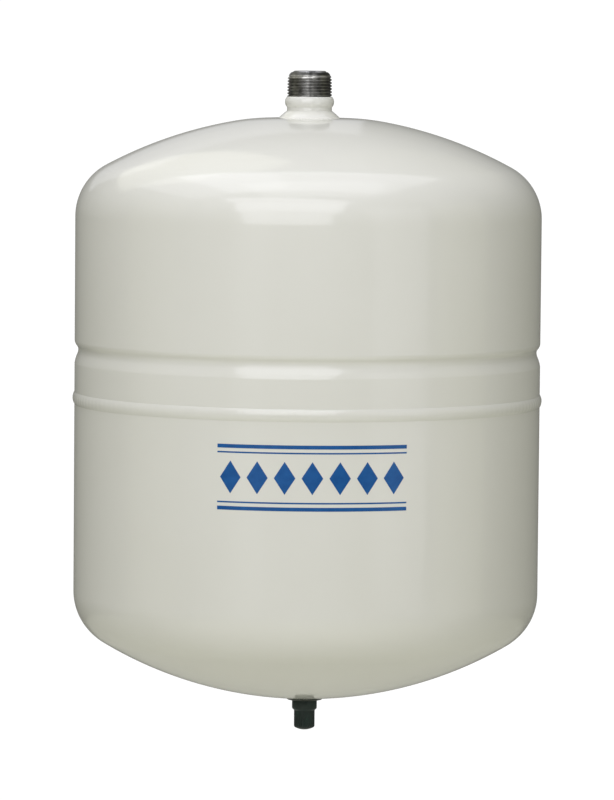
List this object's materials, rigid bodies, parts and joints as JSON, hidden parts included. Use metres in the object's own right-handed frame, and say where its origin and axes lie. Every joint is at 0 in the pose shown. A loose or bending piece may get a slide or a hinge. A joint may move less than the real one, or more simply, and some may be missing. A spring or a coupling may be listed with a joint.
{
  "type": "water heater expansion tank",
  "caption": "Domed steel expansion tank with a clenched rubber diaphragm, a threaded water nipple on top and a capped air valve below.",
  "frame": {"origin": "on the tank's axis at the foot of the pipe thread, where the thread leaves its painted collar", "axes": "+Z along the tank's axis, out of the nipple's mouth; the tank hangs below the origin. The shells are round, so X and Y are interchangeable."},
  "size_m": [0.2818, 0.2818, 0.3969],
  "materials": {
    "ivory_paint": "smooth glossy baked enamel over drawn steel",
    "nipple_steel": "dark bare cut thread above a painted collar",
    "bare_steel": "bare rolled steel",
    "natural_plastic": "natural moulded polypropylene",
    "black_rubber": "moulded butyl rubber",
    "valve_metal": "turned brass, its flange painted with the tank",
    "brass": "turned brass",
    "black_plastic": "satin moulded plastic"
  },
  "bodies": {
    "tank": {"upper_shell": "ivory_paint", "lower_shell": "ivory_paint", "girth_weld": "ivory_paint", "neck_weld": "ivory_paint", "pipe_nipple": "nipple_steel", "liner": "natural_plastic", "liner_o_ring": "black_rubber", "liner_insert": "bare_steel", "diaphragm": "black_rubber", "clamp_ring": "bare_steel", "air_valve_body": "valve_metal", "core_plug": "brass", "core_gasket": "black_rubber", "core_barrel": "brass", "core_spring": "bare_steel"},
    "valve_cap": {"valve_cap": "black_plastic", "cap_o_ring": "black_rubber"},
    "valve_pin": {"core_pin": "brass", "core_cup": "brass", "core_cup_seal": "black_rubber"}
  },
  "joints": [
    {"name": "cap_unscrew", "type": "slide", "parent": "tank", "child": "valve_cap", "axis": [0, 0, -1], "range_m": [0, 0.022]},
    {"name": "pin_press", "type": "slide", "parent": "tank", "child": "valve_pin", "axis": [0, 0, 1], "range_m": [0, 0.0012], "stiffness_N_per_m": 1000, "deforming": ["core_spring"]}
  ]
}
